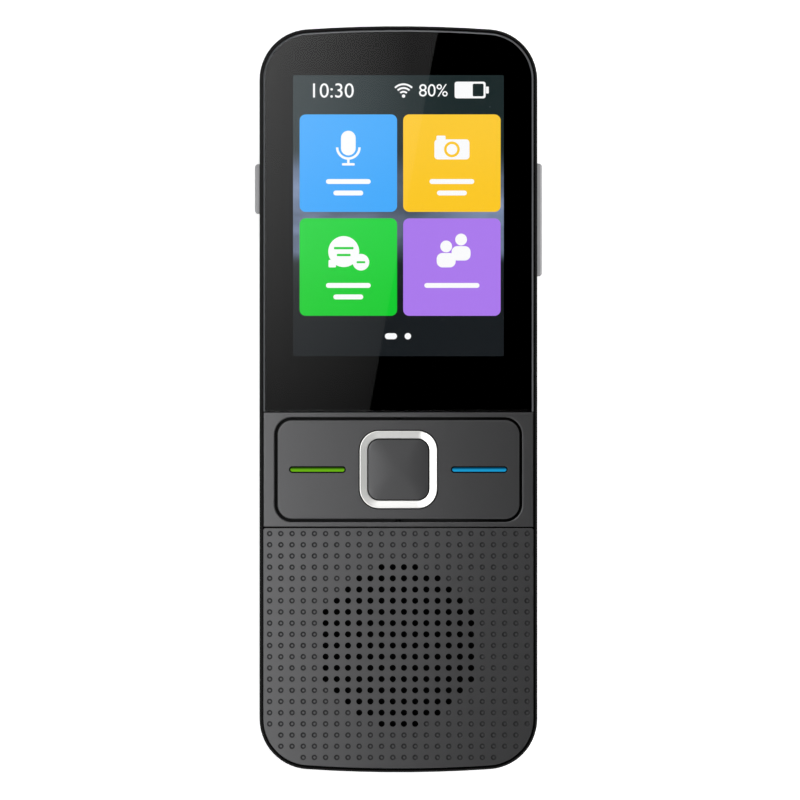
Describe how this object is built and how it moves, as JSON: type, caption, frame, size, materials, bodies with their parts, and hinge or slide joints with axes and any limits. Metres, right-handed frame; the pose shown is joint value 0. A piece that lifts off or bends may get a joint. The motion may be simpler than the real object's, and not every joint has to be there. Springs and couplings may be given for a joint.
{
  "type": "handheld voice translator",
  "caption": "Slim handheld voice translator: glass-covered screen, tilting key bar with a ringed centre key, perforated speaker panel, side keys and a rear camera.",
  "frame": {"origin": "middle of the flat back face", "axes": "+Z out of the screen, +Y towards the top end above the screen, +X to the right as the screen is read"},
  "size_m": [0.05, 0.13, 0.0125],
  "materials": {
    "frame_gloss": "high gloss black",
    "rear_shell": "fine matt texture",
    "front_glass": "polished, black printed border",
    "adhesive": "matt black foam tape",
    "display_stack": "polarised surface",
    "white_plastic": "satin white",
    "flex_film": "satin amber film",
    "panel_grey": "satin dark grey paint",
    "key_grey": "satin dark grey",
    "lens_green": "lit green diffuser",
    "lens_blue": "lit blue diffuser",
    "ring_chrome": "bright plated",
    "side_key_silver": "satin anodised",
    "cloth_black": "woven black",
    "speaker_plastic": "matt black",
    "speaker_film": "thin formed film",
    "magnet_steel": "nickel plated",
    "board_laminate": "green solder mask",
    "chip_black": "moulded package",
    "shield_steel": "tinned sheet",
    "screw_steel": "machine screw",
    "dome_steel": "stamped stainless steel",
    "led_body": "clear resin",
    "battery_foil": "laminated pouch",
    "plug_plastic": "moulded connector",
    "socket_steel": "drawn stainless steel",
    "capsule_metal": "microphone can",
    "boot_rubber": "moulded silicone",
    "camera_black": "matt black",
    "lens_glass": "coated lens",
    "window_glass": "smoked window",
    "antenna_copper": "etched copper film",
    "spring_gold": "gold plated spring"
  },
  "bodies": {
    "case": {"front_frame": "frame_gloss", "rear_cover": "rear_shell", "cover_glass": "front_glass", "glass_tape": "adhesive", "display_gasket": "adhesive", "display_cell": "display_stack", "display_backlight": "white_plastic", "display_flex": "flex_film", "display_plug": "plug_plastic", "key_panel": "panel_grey", "grille_panel": "panel_grey", "centre_ring": "ring_chrome", "main_board": "board_laminate", "board_screws": "screw_steel", "processor": "chip_black", "shield_can": "shield_steel", "indicator_leds": "led_body", "dome_left": "dome_steel", "dome_right": "dome_steel", "dome_centre": "dome_steel", "power_flex": "flex_film", "dome_power": "dome_steel", "volume_flex": "flex_film", "dome_volume_up": "dome_steel", "dome_volume_down": "dome_steel", "battery": "battery_foil", "battery_tapes": "adhesive", "battery_flex": "flex_film", "battery_plug": "plug_plastic", "speaker_cloth": "cloth_black", "speaker_gasket": "adhesive", "speaker_basket": "speaker_plastic", "speaker_magnet": "magnet_steel", "speaker_cone": "speaker_film", "speaker_flex": "flex_film", "usb_board": "board_laminate", "usb_shell": "socket_steel", "usb_tongue": "plug_plastic", "usb_flex": "flex_film", "usb_plug": "plug_plastic", "microphone": "capsule_metal", "microphone_boot": "boot_rubber", "microphone_flex": "flex_film", "camera_module": "camera_black", "camera_lens": "lens_glass", "camera_window": "window_glass", "flash_led": "led_body", "flash_guide": "led_body", "antenna": "antenna_copper", "antenna_springs": "spring_gold"},
    "rocker": {"rocker_key": "key_grey", "light_bar_left": "lens_green", "light_bar_right": "lens_blue"},
    "centre_button": {"centre_key": "key_grey"},
    "power_button": {"power_key": "side_key_silver"},
    "volume_rocker": {"volume_key": "side_key_silver"}
  },
  "joints": [
    {"name": "rocker_tilt", "type": "hinge", "parent": "case", "child": "rocker", "pos_m": [0, -0.01225, 0.0103], "axis": [0, 1, 0], "range_deg": [-1, 1], "stiffness_Nm_per_rad": 1.2, "deforming": ["dome_left", "dome_right"]},
    {"name": "centre_key_press", "type": "slide", "parent": "case", "child": "centre_button", "axis": [0, 0, -1], "range_m": [0, 0.00025], "stiffness_N_per_m": 3000, "deforming": ["dome_centre"]},
    {"name": "power_key_press", "type": "slide", "parent": "case", "child": "power_button", "axis": [1, 0, 0], "range_m": [0, 0.00025], "stiffness_N_per_m": 3000, "deforming": ["dome_power"]},
    {"name": "volume_key_rock", "type": "hinge", "parent": "case", "child": "volume_rocker", "pos_m": [0.02205, 0.0313, 0.0065], "axis": [0, 0, 1], "range_deg": [-2, 2], "stiffness_Nm_per_rad": 0.25, "deforming": ["dome_volume_up", "dome_volume_down"]}
  ]
}
